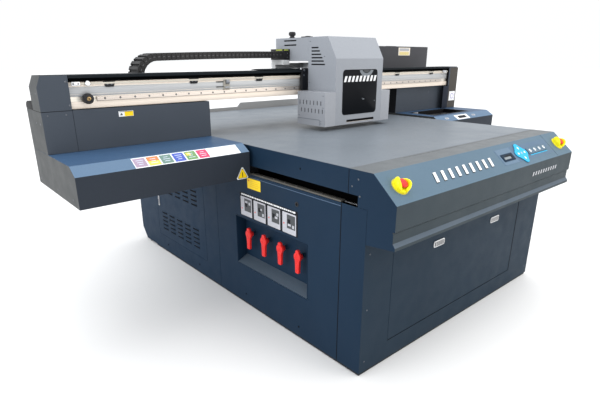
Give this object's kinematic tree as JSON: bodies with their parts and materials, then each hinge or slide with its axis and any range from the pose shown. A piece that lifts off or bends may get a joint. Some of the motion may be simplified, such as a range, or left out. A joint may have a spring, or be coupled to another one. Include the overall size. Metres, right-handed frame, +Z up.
{
  "type": "flatbed uv printer",
  "caption": "Flatbed UV printer with a fixed vacuum table, a moving gantry on side rails, a lifting print carriage, a cable chain, and a control console across the front.",
  "frame": {"origin": "on the floor, under the middle of the whole machine's box with the gantry and carriage in the places shown", "axes": "+X to the right seen from the operator's side, +Y from the console to the back, +Z up"},
  "size_m": [2.997, 2.24, 1.352],
  "materials": {
    "blue_paint": "powder coat, satin",
    "grey_paint": "powder coat, satin",
    "light_paint": "powder coat, satin",
    "table": "anodised, satin",
    "steel": "ground",
    "frame": "black paint",
    "alloy": "anodised",
    "black": "matt",
    "rubber": "matt",
    "red": "moulded",
    "yellow": "moulded",
    "cyan": "printed",
    "zinc": "satin zinc"
  },
  "bodies": {
    "base": {"base_frame": "frame", "foot_front_left": "rubber", "foot_front_right": "rubber", "foot_rear_left": "rubber", "foot_rear_right": "rubber", "vacuum_table": "table", "table_skirt_left": "blue_paint", "table_skirt_right": "blue_paint", "console_shell": "blue_paint", "front_panel": "grey_paint", "side_panel_left_front": "blue_paint", "side_panel_left_rear": "blue_paint", "side_panel_right": "blue_paint", "rear_panel": "blue_paint", "valve_tray": "blue_paint", "vacuum_manifold": "alloy", "vacuum_blower": "alloy", "electrical_box": "grey_paint", "y_rail_left": "steel", "y_rail_right": "steel", "y_motor_left": "black", "y_motor_right": "black", "estop_shroud_left": "yellow", "estop_shroud_right": "yellow"},
    "front_door": {"front_door": "grey_paint"},
    "front_latch_left": {"front_latch_left": "zinc"},
    "front_latch_right": {"front_latch_right": "zinc"},
    "side_door": {"side_door": "blue_paint"},
    "side_latch": {"side_latch": "zinc"},
    "valve_handle_1": {"valve_handle_1": "red"},
    "valve_handle_2": {"valve_handle_2": "red"},
    "valve_handle_3": {"valve_handle_3": "red"},
    "valve_handle_4": {"valve_handle_4": "red"},
    "estop_button_left": {"estop_button_left": "red"},
    "estop_button_right": {"estop_button_right": "red"},
    "arrow_pad": {"arrow_pad": "cyan"},
    "function_keys": {"function_keys": "light_paint"},
    "y_screw_left": {"y_screw_left": "steel"},
    "y_screw_right": {"y_screw_right": "steel"},
    "gantry": {"gantry_beam": "alloy", "beam_cover": "grey_paint", "left_wing_cover": "grey_paint", "right_wing_cover": "grey_paint", "left_end_housing": "grey_paint", "right_end_housing": "grey_paint", "gantry_leg_left": "frame", "gantry_leg_right": "frame", "x_rail": "steel", "x_motor": "black", "ink_box": "grey_paint"},
    "ink_lid": {"ink_lid": "grey_paint"},
    "cap_station": {"cap_station": "black"},
    "x_slider": {"slider_plate": "black", "cable_chain_upper": "black"},
    "cable_chain": {"cable_chain_bend": "black"},
    "carriage": {"carriage_cover": "light_paint", "carriage_rear_cover": "light_paint", "uv_lamp_left": "light_paint", "uv_lamp_right": "light_paint", "print_head_plate": "steel"}
  },
  "joints": [
    {"name": "gantry_travel", "type": "slide", "parent": "base", "child": "gantry", "axis": [0, 1, 0], "range_m": [-0.68, 0.76]},
    {"name": "y_screw_left_turn", "type": "hinge", "parent": "base", "child": "y_screw_left", "pos_m": [-0.5655, -0.987, 0.668], "axis": [0, 1, 0], "range_deg": [-12300, 13800]},
    {"name": "y_screw_right_turn", "type": "hinge", "parent": "base", "child": "y_screw_right", "pos_m": [0.6315, -0.987, 0.668], "axis": [0, 1, 0], "range_deg": [-12300, 13800]},
    {"name": "carriage_travel", "type": "slide", "parent": "gantry", "child": "x_slider", "axis": [1, 0, 0], "range_m": [-0.84, 0.95]},
    {"name": "cable_chain_follow", "type": "slide", "parent": "x_slider", "child": "cable_chain", "axis": [1, 0, 0], "range_m": [-0.476, 0.421], "deforming": ["cable_chain_upper"]},
    {"name": "carriage_lift", "type": "slide", "parent": "x_slider", "child": "carriage", "axis": [0, 0, 1], "range_m": [0, 0.1]},
    {"name": "cap_station_lift", "type": "slide", "parent": "gantry", "child": "cap_station", "axis": [0, 0, 1], "range_m": [0, 0.035]},
    {"name": "ink_lid_hinge", "type": "hinge", "parent": "gantry", "child": "ink_lid", "pos_m": [0.6045, 0.493, 1.325], "axis": [-1, 0, 0], "range_deg": [0, 100]},
    {"name": "front_door_hinge", "type": "hinge", "parent": "base", "child": "front_door", "pos_m": [-0.539, -0.987, 0.1015], "axis": [1, 0, 0], "range_deg": [0, 90]},
    {"name": "front_latch_left_hinge", "type": "hinge", "parent": "front_door", "child": "front_latch_left", "pos_m": [-0.217, -0.9875, 0.483], "axis": [-1, 0, 0], "range_deg": [0, 40], "stiffness_Nm_per_rad": 0.5, "springref_deg": -5.73},
    {"name": "front_latch_right_hinge", "type": "hinge", "parent": "front_door", "child": "front_latch_right", "pos_m": [0.2785, -0.9875, 0.483], "axis": [-1, 0, 0], "range_deg": [0, 40], "stiffness_Nm_per_rad": 0.5, "springref_deg": -5.73},
    {"name": "side_door_hinge", "type": "hinge", "parent": "base", "child": "side_door", "pos_m": [-0.7155, 0.205, 0.115], "axis": [0, 0, 1], "range_deg": [0, 110]},
    {"name": "side_latch_turn", "type": "hinge", "parent": "side_door", "child": "side_latch", "pos_m": [-0.716, 0.798, 0.377], "axis": [-1, 0, 0], "range_deg": [0, 90]},
    {"name": "valve_handle_1_turn", "type": "hinge", "parent": "base", "child": "valve_handle_1", "pos_m": [-0.7015, -0.583, 0.397], "axis": [-1, 0, 0], "range_deg": [0, 90]},
    {"name": "valve_handle_2_turn", "type": "hinge", "parent": "base", "child": "valve_handle_2", "pos_m": [-0.7015, -0.457, 0.397], "axis": [-1, 0, 0], "range_deg": [0, 90]},
    {"name": "valve_handle_3_turn", "type": "hinge", "parent": "base", "child": "valve_handle_3", "pos_m": [-0.7015, -0.331, 0.397], "axis": [-1, 0, 0], "range_deg": [0, 90]},
    {"name": "valve_handle_4_turn", "type": "hinge", "parent": "base", "child": "valve_handle_4", "pos_m": [-0.7015, -0.205, 0.397], "axis": [-1, 0, 0], "range_deg": [0, 90]},
    {"name": "estop_left_press", "type": "slide", "parent": "base", "child": "estop_button_left", "axis": [0, 0.657, -0.7539], "range_m": [0, 0.005], "stiffness_N_per_m": 800, "springref_m": -0.003},
    {"name": "estop_right_press", "type": "slide", "parent": "base", "child": "estop_button_right", "axis": [0, 0.657, -0.7539], "range_m": [0, 0.005], "stiffness_N_per_m": 800, "springref_m": -0.003},
    {"name": "arrow_pad_press", "type": "slide", "parent": "base", "child": "arrow_pad", "axis": [0, 0.657, -0.7539], "range_m": [0, 0.001], "stiffness_N_per_m": 1500, "springref_m": -0.001},
    {"name": "function_keys_press", "type": "slide", "parent": "base", "child": "function_keys", "axis": [0, 0.657, -0.7539], "range_m": [0, 0.001], "stiffness_N_per_m": 1500, "springref_m": -0.001}
  ],
  "couplings": [
    {"joint": "y_screw_left_turn", "follows": "gantry_travel", "rad_per_m": 314.16},
    {"joint": "y_screw_right_turn", "follows": "gantry_travel", "rad_per_m": 314.16},
    {"joint": "cable_chain_follow", "follows": "carriage_travel", "ratio": -0.5}
  ]
}
